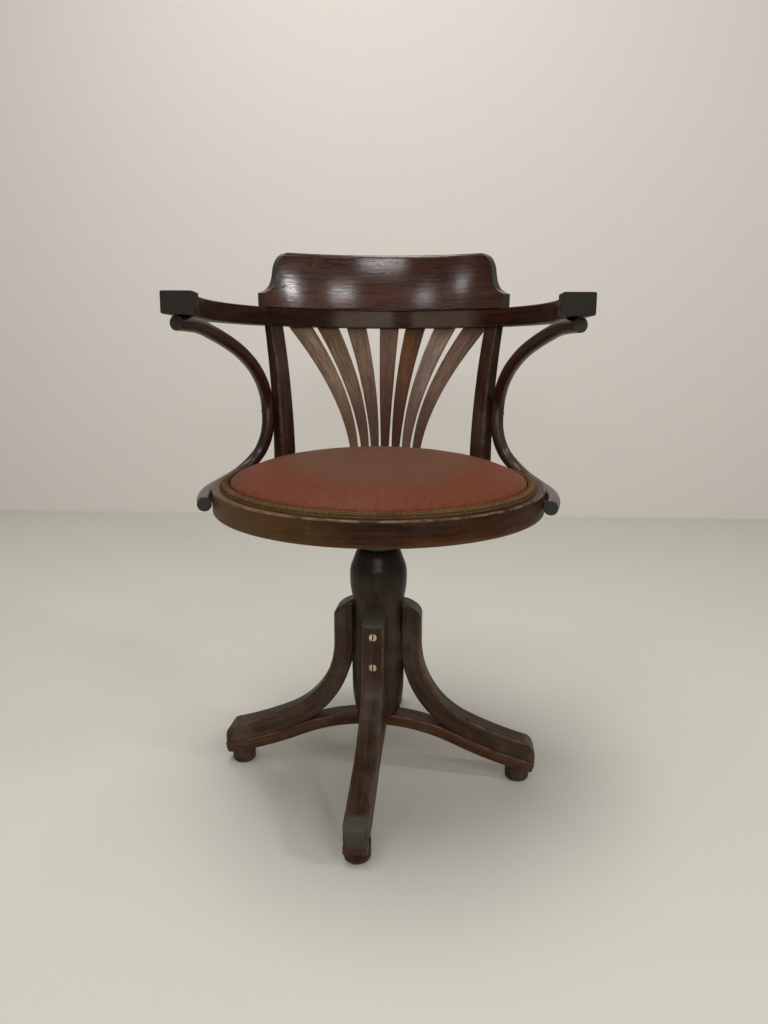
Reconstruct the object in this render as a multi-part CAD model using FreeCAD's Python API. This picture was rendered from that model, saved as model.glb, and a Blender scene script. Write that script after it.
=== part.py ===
import FreeCAD, Part
import math
import os

V = FreeCAD.Vector
UP = V(0, 0, 1)
ORIGIN = V(0, 0, 0)

# Driving dimensions, in millimetres and degrees.
# The swivel axis is the Z axis, the floor is z = 0 and the sitter faces -Y.

# Seat ring, a bentwood hoop
ring_radius = 225.0
ring_top = 437.0
ring_height = 32.5
ring_width = 46.0
ring_edge_round = 3.0
board_thickness = 9.0
board_lip = 12.0
board_gap = 0.5

# Seat pad and its trim
pad_inset = 22.0
pad_height = 38.0
pad_edge = 2.0
pad_forward = 4.0
cover_thickness = 1.6
stuffing_gap = 0.2
trim_beyond_pad = 11.0
trim_under_pad = 3.5
trim_height = 5.0
pad_post_gap = 1.0

# Posts that carry the back, placed inwards of the ring's outside and the bow's middle line
post_foot_inset = 15.8
post_foot_angle = 46.5
post_head_inset = 2.0
post_head_angle = 43.9
post_bend = 2.1
post_turn = 45.0
post_foot_width = 29.0
post_head_width = 24.0
post_foot_depth = 27.5
post_head_depth = 17.5
post_foot_round = 8.0
post_head_round = 2.0
post_tenon_radius = 7.0
post_tenon_length = 16.0

# Splats, a fan of flat tapering slats, placed like the posts
splat_foot_inset = 8.5
splat_head_inset = 2.0
splat_foot_angles = (-12.6, -7.9, -3.7, 0.5, 5.1, 9.5, 14.1)
splat_head_angles = (-32.3, -21.7, -10.7, 1.8, 11.8, 23.3, 35.4)
splat_bend = 1.75
splat_foot_width = 11.5
splat_head_width = 30.5
splat_thickness = 7.0
splat_edge_round = 1.4
splat_tenon_length = 10.0
splat_tenon_thickness = 4.0
splat_tenon_shoulder = 1.5

# Arm bow, a flat horseshoe that rises a little towards the front
bow_radius = 245.0
bow_width = 26.0
bow_thickness = 27.0
bow_bottom = 642.5
bow_level_y = 235.0
bow_rise = 2.6
bow_edge_round = 2.5
arm_front = 100.0
paw_width = 40.0
paw_length = 24.0
paw_neck_length = 24.0

# Crest, the dished board on the back of the bow
crest_foot_thickness = 20.0
crest_height = 86.0
crest_lean = 14.0
crest_top_thickness = 11.0
crest_hollow = 3.0
crest_foot_angle = 49.0
crest_end_steps = (0.0, 9.0, 17.0, 24.5, 28.0, 31.0, 34.5, 40.0, 48.0, 58.0)
crest_end_heights = (24.0, 27.0, 31.5, 42.0, 53.0, 64.0, 71.0, 78.0, 83.5, 86.5)
crest_dowel_radius = 5.0
crest_dowel_length = 26.0
crest_dowel_angles = (-36.0, -12.0, 12.0, 36.0)

# Braces, round bentwood rods from the arms down to the ring's sides.
# The curve points are shares of the way in x, y and z, from the post to the arm or the ring.
brace_radius = 9.5
brace_front = 81.0
brace_drop = 0.1
brace_offset = 6.0
brace_arm_curve = (
    (0.80, 0.80, 0.983),
    (0.54, 0.57, 0.837),
    (0.312, 0.38, 0.677),
    (0.139, 0.22, 0.472),
    (0.037, 0.107, 0.258),
)
brace_ring_curve = ((0.09, 0.06, 0.32), (0.316, 0.124, 0.611), (0.66, 0.39, 0.837))

# Base: legs round a turned column, on two crossing arched strips
base_turn = -5.0
leg_face = 34.5
leg_thickness = 28.0
leg_width = 31.0
leg_top = 268.5
leg_top_profile = ((-6, 2.5), (0, 0), (6.3, -2.5), (16.8, -8.5), (22, -12.5), (26.2, -18), (28.5, -28))
leg_top_round = 9.0
leg_bend_height = 204.0
leg_bend_radius = 122.0
leg_bend_angle = 65.0
leg_sweep_radius = 500.0
leg_sweep_angle = 10.0
leg_toe = 230.5
leg_toe_profile = ((-32, 86), (-17, 66), (-6.5, 56), (-0.8, 44), (0, 34), (-2.5, 22), (-9, 10))
leg_toe_round = 8.0
leg_outer_round = 5.0
leg_inner_round = 2.5
strip_thickness = 17.5
strip_width = 30.5
strip_edge_round = 3.0
strip_toe_round = 4.0
strip_flat_height = 17.0
foot_radius = 17.2
foot_reach = 206.0
foot_edge_round = 5.0
foot_blank_height = 26.0
toe_screw_height = 4.0
joint_gap = 0.1

# Column
column_shaft_radius = 37.3
column_foot_radius = 26.0
column_bulge_radius = 40.3
column_bulge_height = 301.0
column_neck_radius = 36.4
column_neck_height = 268.0
column_top = 344.0
column_top_radius = 26.5
column_seat_depth = 1.5
column_bore_radius = 15.5
column_bore_bottom = 172.0
column_flat_drop = 32.0
hub_bolt_radius = 4.0
hub_bolt_length = 60.0
hub_bolt_head_radius = 9.0
hub_bolt_head_height = 5.0

# Screw spindle, its nut and the iron spider under the seat
spindle_radius = 13.0
thread_depth = 2.5
thread_lead = 8.0
thread_crest = 1.8
thread_root = 4.4
thread_overlap = 0.6
spindle_bottom = 190.0
thread_top = 356.0
nut_sleeve_radius = 20.0
nut_sleeve_length = 58.0
nut_flange_radius = 25.0
nut_flange_thickness = 5.0
nut_clearance = 0.15
washer_outer = 19.0
washer_thickness = 2.0
washer_clearance = 0.08
batten_width = 44.0
batten_thickness = 18.0
batten_inset = 20.0
spider_thickness = 6.0
spider_arm_length = 105.0
spider_arm_width = 30.0
spider_hub_radius = 38.0
spider_screw_radii = (58.0, 92.0)
boss_radius = 22.0
boss_height = 30.0
batten_screw_inset = 30.0
batten_screw_angle = 3.2

# Screws: head radius, shank radius, length
screw_hole_gap = 0.15
slot_share = 0.32
slot_depth = 1.0
leg_screw = (5.2, 2.4, 38.0)
leg_screw_heights = (233.0, 188.5)
toe_screw = (4.0, 2.0, 36.0)
brace_screw = (4.0, 2.0, 30.0)
batten_screw = (4.0, 2.0, 26.0)
spider_screw = (4.0, 2.0, 17.0)
nut_screw = (2.4, 1.2, 16.0)
nut_screw_angles = (30.0, 150.0, 270.0)

# Levels and radii that follow from the sizes above
ring_bottom = ring_top - ring_height
ring_inner = ring_radius - ring_width
board_radius = ring_inner + board_lip
pad_radius = ring_radius - pad_inset
trim_outer = pad_radius + trim_beyond_pad
trim_inner = pad_radius - trim_under_pad
batten_reach = ring_radius - batten_inset
batten_screw_reach = ring_radius - batten_screw_inset
bow_inner = bow_radius - bow_width / 2
bow_outer = bow_radius + bow_width / 2
crest_inner = bow_inner
crest_bottom = bow_bottom + bow_thickness
spider_bottom = ring_bottom - spider_thickness
nut_top = column_top + nut_flange_thickness
nut_bottom = column_top - nut_sleeve_length


def polar(radius, angle, z):
    a = math.radians(angle)
    return V(radius * math.cos(a), radius * math.sin(a), z)


def behind(radius, angle, z):
    # angle is counted from straight behind the sitter, positive towards +X
    return polar(radius, 90.0 - angle, z)


def turned(shape, angle):
    copy = shape.copy()
    copy.rotate(ORIGIN, UP, angle)
    return copy


def moved(shape, offset):
    copy = shape.copy()
    copy.translate(offset)
    return copy


def mirrored(shape):
    return shape.mirror(ORIGIN, V(1, 0, 0))


def line(a, b):
    return Part.makeLine(a, b)


def arc(a, middle, b):
    return Part.Arc(a, middle, b).toShape()


def face_of(edges):
    return Part.Face(Part.Wire(Part.__sortEdges__(edges)))


def revolved(edges):
    return face_of(edges).revolve(ORIGIN, UP, 360)


def rounded_rectangle(centre, across, along, width, height, rounds):
    # rounds: the corner radii at (-,-), (+,-), (+,+) and (-,+) of (across, along)
    corners = ((-1, -1), (1, -1), (1, 1), (-1, 1))
    starts, ends, middles = [], [], []
    for number, (s, t) in enumerate(corners):
        r = rounds[number]
        corner = centre + across * (s * width / 2) + along * (t * height / 2)
        inward = across * (-s * r) + along * (-t * r)
        on_width = corner + across * (-s * r)
        on_height = corner + along * (-t * r)
        first, last = (on_height, on_width) if s * t > 0 else (on_width, on_height)
        starts.append(first)
        ends.append(last)
        middles.append(corner + inward * (1 - math.sqrt(0.5)))
    edges = []
    for number in range(4):
        edges.append(arc(starts[number], middles[number], ends[number]))
        edges.append(line(ends[number], starts[(number + 1) % 4]))
    return Part.Wire(edges)


def bent_bar(section, point, heading, moves):
    # a section carried along straight runs and circular bends, each tangent to the last
    pieces = []
    face = section.copy()
    for kind, size, angle, axis in moves:
        if kind == "run":
            pieces.append(face.extrude(heading * size))
            face.translate(heading * size)
            point = point + heading * size
        else:
            centre = point + axis.cross(heading) * size
            pieces.append(face.revolve(centre, axis, angle))
            face.rotate(centre, axis, angle)
            turn = FreeCAD.Rotation(axis, angle)
            point = centre + turn.multVec(point - centre)
            heading = turn.multVec(heading)
    return pieces[0].fuse(pieces[1:]).removeSplitter()


def beyond_curve(points, far, low, high, width):
    # all that lies past a smooth XZ curve drawn from its top end to its bottom end
    curve = Part.BSplineCurve()
    curve.interpolate(points)
    first, last = points[0], points[-1]
    corners = [
        last,
        V(last.x, 0, low),
        V(far, 0, low),
        V(far, 0, high),
        V(first.x, 0, high),
        first,
    ]
    edges = [curve.toShape()] + Part.makePolygon(corners).Edges
    face = face_of(edges)
    face.translate(V(0, -width / 2, 0))
    return face.extrude(V(0, width, 0))


def screw_shape(head, shank, length):
    # the head's face is at the origin and the shank runs along +Z
    cone = Part.makeCone(head, shank, head - shank)
    shape = cone.fuse(Part.makeCylinder(shank, length)).removeSplitter()
    width = slot_share * head
    corner = V(-width / 2, -head, 0)
    return shape.cut(Part.makeBox(width, 2 * head, slot_depth, corner))


def screw_hole(head, shank, length):
    gap = screw_hole_gap
    cone = Part.makeCone(head + gap, shank + gap, head - shank)
    mouth = Part.makeCylinder(head + gap, 20, V(0, 0, -20))
    return cone.fuse([mouth, Part.makeCylinder(shank + gap, length + 1)])


def aimed(shape, point, direction):
    # takes a shape made along +Z to a point and a direction
    copy = shape.copy()
    copy.Placement = FreeCAD.Placement(point, FreeCAD.Rotation(UP, direction))
    return copy


def cut_from(nodes, names, cutters):
    for name in names:
        nodes[name] = nodes[name].cut(cutters)


def fasten(nodes, name, sizes, places, targets):
    # one node of like screws, and their holes in the pieces they join
    screws = [aimed(screw_shape(*sizes), *place) for place in places]
    holes = [aimed(screw_hole(*sizes), *place) for place in places]
    nodes[name] = Part.makeCompound(screws)
    cut_from(nodes, targets, holes)


def tilted(shape):
    copy = shape.copy()
    copy.rotate(V(0, bow_level_y, bow_bottom), V(1, 0, 0), -bow_rise)
    return copy


def bow_underside(y):
    return bow_bottom + (bow_level_y - y) * math.tan(math.radians(bow_rise))


def above_bow_underside():
    return tilted(Part.makeBox(800, 800, 200, V(-400, -400, bow_bottom)))


# Seat ring


def ring_blank():
    e = ring_edge_round
    d = e * (1 - math.sqrt(0.5))
    rebate = ring_top - board_thickness
    edges = [
        line(V(ring_inner, 0, ring_bottom), V(ring_radius - e, 0, ring_bottom)),
        arc(
            V(ring_radius - e, 0, ring_bottom),
            V(ring_radius - d, 0, ring_bottom + d),
            V(ring_radius, 0, ring_bottom + e),
        ),
        line(V(ring_radius, 0, ring_bottom + e), V(ring_radius, 0, ring_top - e)),
        arc(
            V(ring_radius, 0, ring_top - e),
            V(ring_radius - d, 0, ring_top - d),
            V(ring_radius - e, 0, ring_top),
        ),
        line(V(ring_radius - e, 0, ring_top), V(board_radius, 0, ring_top)),
        line(V(board_radius, 0, ring_top), V(board_radius, 0, rebate)),
        line(V(board_radius, 0, rebate), V(ring_inner, 0, rebate)),
        line(V(ring_inner, 0, rebate), V(ring_inner, 0, ring_bottom)),
    ]
    return revolved(edges)


def seat_board():
    return Part.makeCylinder(
        board_radius - board_gap, board_thickness, V(0, 0, ring_top - board_thickness)
    )


# Pad: stuffing under a tight cover, with a braid trim round its edge


def dome(radius, height):
    # a quarter of an ellipse over a short upright edge
    crown = ring_top + height
    shoulder = ring_top + pad_edge
    curve = Part.BezierCurve()
    curve.setPoles([V(radius, 0, shoulder), V(radius, 0, crown), V(0, 0, crown)])
    curve.setWeight(2, math.sqrt(0.5))
    edges = [
        curve.toShape(),
        line(V(radius, 0, shoulder), V(radius, 0, ring_top)),
        line(V(radius, 0, ring_top), V(0, 0, ring_top)),
        line(V(0, 0, ring_top), V(0, 0, crown)),
    ]
    return moved(revolved(edges), V(0, -pad_forward, 0))


def trim_band():
    edges = [
        line(V(trim_inner, 0, ring_top), V(trim_outer, 0, ring_top)),
        arc(
            V(trim_outer, 0, ring_top),
            V(trim_outer - 1.8, 0, ring_top + 0.55 * trim_height),
            V(pad_radius + 0.6, 0, ring_top + trim_height),
        ),
        line(
            V(pad_radius + 0.6, 0, ring_top + trim_height),
            V(trim_inner, 0, ring_top + trim_height),
        ),
        line(V(trim_inner, 0, ring_top + trim_height), V(trim_inner, 0, ring_top)),
    ]
    return moved(revolved(edges), V(0, -pad_forward, 0))


# Posts


def post_share(z):
    return (z - ring_top) / (bow_bottom - ring_top)


def post_head():
    return behind(bow_radius - post_head_inset, post_head_angle, 0)


def post_point(side, z):
    # the foot stands upright and the head bends outwards
    bend = post_share(z) ** post_bend if z > ring_top else 0.0
    foot = behind(ring_radius - post_foot_inset, post_foot_angle, 0)
    place = foot + (post_head() - foot) * bend
    return V(side * place.x, place.y, z)


def post_outward(side):
    return behind(1, side * post_turn, 0)


def post_section(side, z, grow=0.0):
    share = post_share(z)
    width = post_foot_width + share * (post_head_width - post_foot_width)
    depth = post_foot_depth + share * (post_head_depth - post_foot_depth)
    corner = post_foot_round + share * (post_head_round - post_foot_round)
    outward = post_outward(side)
    return rounded_rectangle(
        post_point(side, z),
        outward,
        UP.cross(outward),
        depth + 2 * grow,
        width + 2 * grow,
        (corner,) * 4,
    )


def post_bar(side, grow=0.0):
    height = bow_bottom - ring_top
    shares = (0.0, 0.25, 0.5, 0.75, 1.05)
    sections = [post_section(side, ring_top + s * height, grow) for s in shares]
    return Part.makeLoft(sections, True, False)


def post_tenon(side, end, grow=0.0):
    if end == "foot":
        point, heading = post_point(side, ring_top), V(0, 0, -1)
    else:
        point, heading = post_point(side, bow_underside(post_head().y)), UP
    start = point - heading * 2
    return Part.makeCylinder(
        post_tenon_radius + grow, post_tenon_length + 2 + 5 * grow, start, heading
    )


def post(side):
    bar = post_bar(side).cut(above_bow_underside())
    return bar.fuse([post_tenon(side, "foot"), post_tenon(side, "head")])


# Splats


def splat_angle(number, share):
    foot, head = splat_foot_angles[number], splat_head_angles[number]
    return foot + (head - foot) * max(share, 0.0) ** splat_bend


def splat_point(number, share):
    foot_radius = ring_radius - splat_foot_inset
    head_radius = bow_radius - splat_head_inset
    radius = foot_radius + share * (head_radius - foot_radius)
    z = ring_top + share * (bow_bottom - ring_top)
    return behind(radius, splat_angle(number, share), z)


def splat_section(number, share):
    step = 0.01
    point = splat_point(number, share)
    along = splat_point(number, share + step) - splat_point(number, share - step)
    outward = behind(1, splat_angle(number, share), 0)
    across = along.cross(outward).normalize()
    through = across.cross(along).normalize()
    width = splat_foot_width + share * (splat_head_width - splat_foot_width)
    return rounded_rectangle(
        point, across, through, width, splat_thickness, (splat_edge_round,) * 4
    )


def splat_tenon(number, end, grow=0.0):
    share = 0.0 if end == "foot" else 1.0
    point = splat_point(number, share)
    angle = splat_angle(number, share)
    end_width = splat_foot_width if end == "foot" else splat_head_width / 2
    width = end_width - 2 * splat_tenon_shoulder + 2 * grow
    thickness = splat_tenon_thickness + 2 * grow
    length = splat_tenon_length + 6 + 2 * grow
    base = -splat_tenon_length - 2 * grow if end == "foot" else -6.0
    rise = 0.0 if end == "foot" else bow_underside(point.y) - bow_bottom
    box = Part.makeBox(width, thickness, length, V(-width / 2, -thickness / 2, base))
    box.rotate(ORIGIN, UP, -angle)
    return moved(box, point + V(0, 0, rise))


def splat(number):
    shares = [-0.06, 0.1, 0.3, 0.5, 0.7, 0.88, 1.1]
    body = Part.makeLoft([splat_section(number, s) for s in shares], True, False)
    body = body.cut(above_bow_underside())
    body = body.cut(Part.makeBox(800, 800, 60, V(-400, -400, ring_top - 60)))
    return body.fuse([splat_tenon(number, "foot"), splat_tenon(number, "head")])


# Arm bow


def bow_section(x_inner, x_outer, y):
    across = V(1, 0, 0)
    centre = V((x_inner + x_outer) / 2, y, bow_bottom + bow_thickness / 2)
    return rounded_rectangle(
        centre, across, UP, x_outer - x_inner, bow_thickness, (bow_edge_round,) * 4
    )


def bow_blank():
    inner, outer = bow_inner, bow_outer
    start = Part.Face(bow_section(inner, outer, 0))
    neck_y = -arm_front + paw_length + paw_neck_length
    paw_y = -arm_front + paw_length
    rear = start.revolve(ORIGIN, UP, 180)
    arm = start.extrude(V(0, neck_y, 0))
    mid = (neck_y + paw_y) / 2
    paw_inner = outer - paw_width
    sections = [
        bow_section(inner, outer, neck_y),
        bow_section(inner - 0.22 * (inner - paw_inner), outer, mid + 3),
        bow_section(paw_inner, outer, paw_y),
    ]
    neck = Part.makeLoft(sections, True, True)
    paw = Part.Face(sections[2]).extrude(V(0, -paw_length, 0))
    arms = [arm, neck, paw]
    both = arms + [mirrored(shape) for shape in arms]
    return rear.fuse(both).removeSplitter()


# Crest


def crest_blank():
    b, h = crest_bottom, crest_height
    front = crest_inner + crest_lean
    back = front + crest_top_thickness
    foot_back = crest_inner + crest_foot_thickness
    middle = crest_inner + crest_lean / 2 + crest_hollow
    cap = 5.0
    edges = [
        line(V(foot_back, 0, b), V(foot_back, 0, b - 10)),
        line(V(foot_back, 0, b - 10), V(crest_inner, 0, b - 10)),
        line(V(crest_inner, 0, b - 10), V(crest_inner, 0, b + 4)),
        arc(
            V(crest_inner, 0, b + 4),
            V(middle, 0, b + h / 2),
            V(front, 0, b + h - cap),
        ),
        arc(
            V(front, 0, b + h - cap),
            V((front + back) / 2, 0, b + h),
            V(back, 0, b + h - cap),
        ),
        arc(
            V(back, 0, b + h - cap),
            V((foot_back + back) / 2 - 1.5, 0, b + h / 2),
            V(foot_back, 0, b),
        ),
    ]
    face = face_of(edges)
    face.rotate(ORIGIN, UP, 90 - crest_foot_angle)
    return face.revolve(ORIGIN, UP, 2 * crest_foot_angle)


def crest_end_cutter():
    # the ogee end of the crest, cut square to its face at the +X end
    places = list(zip(crest_end_steps, crest_end_heights))
    points = [V(-step, 0, crest_bottom + height) for step, height in places]
    low, high = points[0].z - 0.01, crest_bottom + crest_height + 20
    cutter = beyond_curve(points[::-1], 80.0, low, high, 120)
    cutter.translate(V(0, crest_inner + 10, 0))
    cutter.rotate(ORIGIN, UP, -crest_foot_angle)
    return cutter


def below_bow_top():
    return tilted(Part.makeBox(800, 800, 200, V(-400, -400, crest_bottom - 200)))


def crest_dowel(angle, grow=0.0):
    radius = crest_inner + crest_foot_thickness / 2
    half = crest_dowel_length / 2 + 4 * grow
    base = behind(radius, angle, crest_bottom - half)
    return Part.makeCylinder(crest_dowel_radius + grow, 2 * half, base)


# Braces


def beside_post(z, gap, outward_shift):
    # a point on the +X side, one rod and a gap away from the front flank of the post
    outward = post_outward(1)
    flank = outward.cross(UP)
    width = post_foot_width + post_share(z) * (post_head_width - post_foot_width)
    reach = width / 2 + brace_radius + gap
    return post_point(1, z) + flank * reach + outward * outward_shift


def beside_ring(y, z, gap):
    reach = ring_radius + brace_radius + gap
    return V(math.sqrt(reach**2 - y**2), y, z)


def under_arm(x, y):
    return V(x, y, bow_underside(y) - brace_radius - brace_drop)


def curve_points(start, end, shares):
    way = end - start
    return [start + V(x * way.x, y * way.y, z * way.z) for x, y, z in shares]


def brace_route():
    low = ring_bottom + ring_height / 2
    arm = under_arm(bow_radius, -brace_front)
    post_upper = beside_post(535, 0.3, brace_offset)
    post_lower = beside_post(502, 0.3, brace_offset)
    ring_rear = beside_ring(95, low + 6, 1.8)
    return [
        arm,
        *curve_points(post_upper, arm, brace_arm_curve),
        post_upper,
        post_lower,
        *curve_points(post_lower, ring_rear, brace_ring_curve),
        ring_rear,
        beside_ring(50, low, 1.4),
        beside_ring(0, low, 1.4),
        beside_ring(-42, low, 1.4),
        beside_ring(-brace_front, low, 1.4),
    ]


def rod_along(points, radius):
    # straight runs joined by tangent arcs, with a round section
    moves = []
    used = 0.0
    for number in range(1, len(points) - 1):
        before = points[number] - points[number - 1]
        after = points[number + 1] - points[number]
        turn = before.getAngle(after)
        reach = 0.45 * min(before.Length, after.Length)
        moves.append(("run", before.Length - used - reach, 0.0, None))
        axis = before.cross(after).normalize()
        moves.append(("bend", reach / math.tan(turn / 2), math.degrees(turn), axis))
        used = reach
    final = points[-1] - points[-2]
    moves.append(("run", final.Length - used, 0.0, None))
    heading = (points[1] - points[0]).normalize()
    circle = Part.Edge(Part.Circle(points[0], heading, radius))
    section = Part.Face(Part.Wire(circle))
    return bent_bar(section, points[0], heading, moves)


def brace_screw_places():
    # head point and direction of the screws into the arm, the post and the ring
    route = brace_route()
    arm = route[0] + (route[1] - route[0]) * 0.62 - V(0, 0, brace_radius)
    inward = UP.cross(post_outward(1))
    at_post = (route[6] + route[7]) * 0.5 - inward * brace_radius
    ring_point = (route[14] + route[15]) * 0.5
    out = V(ring_point.x, ring_point.y, 0).normalize()
    places = [(arm, UP), (at_post, inward), (ring_point + out * brace_radius, out * -1)]
    for point, direction in places[:]:
        mirror_point = V(-point.x, point.y, point.z)
        places.append((mirror_point, V(-direction.x, direction.y, direction.z)))
    return places


# Base


def leg():
    outer = leg_face + leg_thickness
    across = V(1, 0, 0)
    along = V(0, 1, 0)
    centre = V(leg_face + leg_thickness / 2, 0, leg_top)
    rounds = (leg_inner_round, leg_outer_round, leg_outer_round, leg_inner_round)
    section = Part.Face(
        rounded_rectangle(centre, across, along, leg_thickness, leg_width, rounds)
    )
    moves = [
        ("run", leg_top - leg_bend_height, 0.0, None),
        ("bend", leg_bend_radius, leg_bend_angle, V(0, -1, 0)),
        ("bend", leg_sweep_radius, leg_sweep_angle, V(0, -1, 0)),
        ("run", 40.0, 0.0, None),
    ]
    bar = bent_bar(section, V(outer, 0, leg_top), V(0, 0, -1), moves)
    top = [V(leg_face + x, 0, leg_top + z) for x, z in leg_top_profile]
    far, low, high = outer + 20, top[-1].z - 1, leg_top + 40
    top_cutter = beyond_curve(top, far, low, high, 2 * leg_width)
    corners = leg_top_corners() + toe_corners(leg_width, leg_toe_round)
    return bar.cut([top_cutter, toe_cutter()] + corners)


def leg_top_corners():
    # rounds the two upper corners seen from the front of the leg
    r = leg_top_round
    y, z = leg_width / 2 - r, leg_top - r
    block = Part.makeBox(80, r + 5, r + 12, V(leg_face - 10, y, z))
    round_bar = Part.makeCylinder(r, 100, V(leg_face - 20, y, z), V(1, 0, 0))
    corner = block.cut(round_bar)
    return [corner, corner.mirror(ORIGIN, V(0, 1, 0))]


def toe_corners(width, r):
    # rounds the two corners of a toe seen from above
    x, y = leg_toe - r, width / 2 - r
    block = Part.makeBox(r + 5, r + 5, 100, V(x, y, -5))
    corner = block.cut(Part.makeCylinder(r, 120, V(x, y, -10)))
    return [corner, corner.mirror(ORIGIN, V(0, 1, 0))]


def toe_cutter():
    points = [V(leg_toe + x, 0, z) for x, z in leg_toe_profile]
    return beyond_curve(points, leg_toe + 90, -10, points[0].z + 1, 2 * leg_width)


def strip_arch_radius():
    angle = math.radians(leg_bend_angle)
    outer = leg_face + leg_thickness
    reach = outer + leg_bend_radius
    reach -= (leg_bend_radius + leg_thickness) * math.cos(angle)
    return reach / math.cos(angle)


def strip_top():
    angle = math.radians(leg_bend_angle)
    drop = (leg_bend_radius + leg_thickness) * math.sin(angle)
    rise = strip_arch_radius() * (1 - math.sin(angle))
    return leg_bend_height - drop + rise


def strip_blank():
    top = strip_top()
    r = strip_edge_round
    centre = V(0, 0, top - strip_thickness / 2)
    section = Part.Face(
        rounded_rectangle(
            centre, V(0, 1, 0), UP, strip_width, strip_thickness, (r,) * 4
        )
    )
    moves = [
        ("bend", strip_arch_radius(), 90 - leg_bend_angle, V(0, 1, 0)),
        ("bend", leg_sweep_radius + leg_thickness, leg_sweep_angle, V(0, -1, 0)),
        ("run", 40.0, 0.0, None),
    ]
    half = bent_bar(section, V(0, 0, top), V(1, 0, 0), moves)
    flat = Part.makeBox(300, 100, 60, V(0, -50, strip_flat_height - 60))
    half = half.cut([flat, toe_cutter()] + toe_corners(strip_width, strip_toe_round))
    whole = half.fuse(half.mirror(ORIGIN, V(1, 0, 0))).removeSplitter()
    seat = Part.makeCylinder(
        column_foot_radius + 5, 20, V(0, 0, top - column_seat_depth)
    )
    return whole.cut(seat)


def foot_blank():
    e = foot_edge_round
    d = e * (1 - math.sqrt(0.5))
    r, h = foot_radius, foot_blank_height
    edges = [
        line(V(0, 0, 0), V(r - e, 0, 0)),
        arc(V(r - e, 0, 0), V(r - d, 0, d), V(r, 0, e)),
        line(V(r, 0, e), V(r, 0, h)),
        line(V(r, 0, h), V(0, 0, h)),
        line(V(0, 0, h), V(0, 0, 0)),
    ]
    return moved(revolved(edges), V(foot_reach, 0, 0))


def column_blank(bottom):
    r = column_shaft_radius
    points = [
        (column_foot_radius, bottom),
        (column_foot_radius + 4.8, bottom + 5),
        (column_foot_radius + 7.8, bottom + 15),
        (r - 0.9, bottom + 32),
        (r, bottom + 56),
        (r, bottom + 110),
        (column_neck_radius, column_neck_height),
        (column_bulge_radius - 0.9, column_bulge_height - 14),
        (column_bulge_radius, column_bulge_height),
        (column_bulge_radius - 1.3, column_bulge_height + 16),
        (column_bulge_radius - 5.8, column_top - 14),
        (column_top_radius + 3.6, column_top - 3.5),
        (column_top_radius, column_top),
    ]
    curve = Part.BSplineCurve()
    curve.interpolate([V(x, 0, z) for x, z in points])
    edges = [
        curve.toShape(),
        line(V(column_top_radius, 0, column_top), V(0, 0, column_top)),
        line(V(0, 0, column_top), V(0, 0, bottom)),
        line(V(0, 0, bottom), V(column_foot_radius, 0, bottom)),
    ]
    return revolved(edges)


def spindle():
    core_radius = spindle_radius - thread_depth
    length = ring_bottom - spindle_bottom
    core = Part.makeCylinder(core_radius, length, V(0, 0, spindle_bottom))
    collar_length = ring_bottom - thread_top
    collar = Part.makeCylinder(spindle_radius, collar_length, V(0, 0, thread_top))
    length = thread_top - spindle_bottom - 6
    start = spindle_bottom + 3
    helix = Part.makeHelix(thread_lead, length, core_radius)
    helix.translate(V(0, 0, start))
    inner = core_radius - thread_overlap
    corners = [
        V(inner, 0, start - thread_root / 2),
        V(spindle_radius, 0, start - thread_crest / 2),
        V(spindle_radius, 0, start + thread_crest / 2),
        V(inner, 0, start + thread_root / 2),
    ]
    profile = Part.makePolygon(corners + corners[:1])
    ridge = Part.Wire(helix.Edges).makePipeShell([profile], True, True)
    return core.fuse([ridge, collar])


def spider():
    z = spider_bottom
    shape = Part.makeCylinder(spider_hub_radius, spider_thickness, V(0, 0, z))
    for angle in (0, 90):
        arm = Part.makeBox(
            2 * spider_arm_length,
            spider_arm_width,
            spider_thickness,
            V(-spider_arm_length, -spider_arm_width / 2, z),
        )
        shape = shape.fuse(turned(arm, angle))
    boss = Part.makeCone(
        boss_radius - 3, boss_radius, boss_height, V(0, 0, z - boss_height)
    )
    shape = shape.fuse(boss).removeSplitter()
    bore = Part.makeCylinder(
        spindle_radius + joint_gap / 2, 60, V(0, 0, z - boss_height - 1)
    )
    return shape.cut(bore)


def batten_bar(angle, gap, drop):
    reach, width = batten_reach + gap, batten_width + 2 * gap
    low, height = ring_bottom - drop, batten_thickness + gap + drop
    bar = Part.makeBox(2 * reach, width, height, V(-reach, -width / 2, low))
    outline = Part.makeCylinder(reach, height, V(0, 0, low))
    return turned(bar.common(outline), angle)


def batten(angle, notch_above):
    # let flush into the ring's underside, and halved where the two cross
    half = batten_thickness / 2
    width = batten_width + 2 * joint_gap
    base = ring_bottom + half if notch_above else ring_bottom - 1
    notch = Part.makeBox(width, width, half + 1, V(-width / 2, -width / 2, base))
    return batten_bar(angle, 0, 0).cut(notch)


def turned_cylinder(radius, bottom, top):
    return Part.makeCylinder(radius, top - bottom, V(0, 0, bottom))


def build_seat(nodes):
    pad = dome(pad_radius, pad_height)
    hollow = dome(pad_radius - cover_thickness, pad_height - cover_thickness)
    inset = cover_thickness + stuffing_gap
    nodes["seat_ring"] = ring_blank()
    nodes["seat_board"] = seat_board()
    nodes["padding"] = dome(pad_radius - inset, pad_height - inset)
    nodes["seat_cover"] = pad.cut(hollow)
    nodes["edge_trim"] = trim_band().cut(pad)
    around_posts = [post_bar(side, pad_post_gap) for side in (-1, 1)]
    cut_from(nodes, ("seat_cover", "edge_trim"), around_posts)
    wider = [post_bar(side, pad_post_gap + stuffing_gap) for side in (-1, 1)]
    cut_from(nodes, ("padding",), wider)


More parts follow.
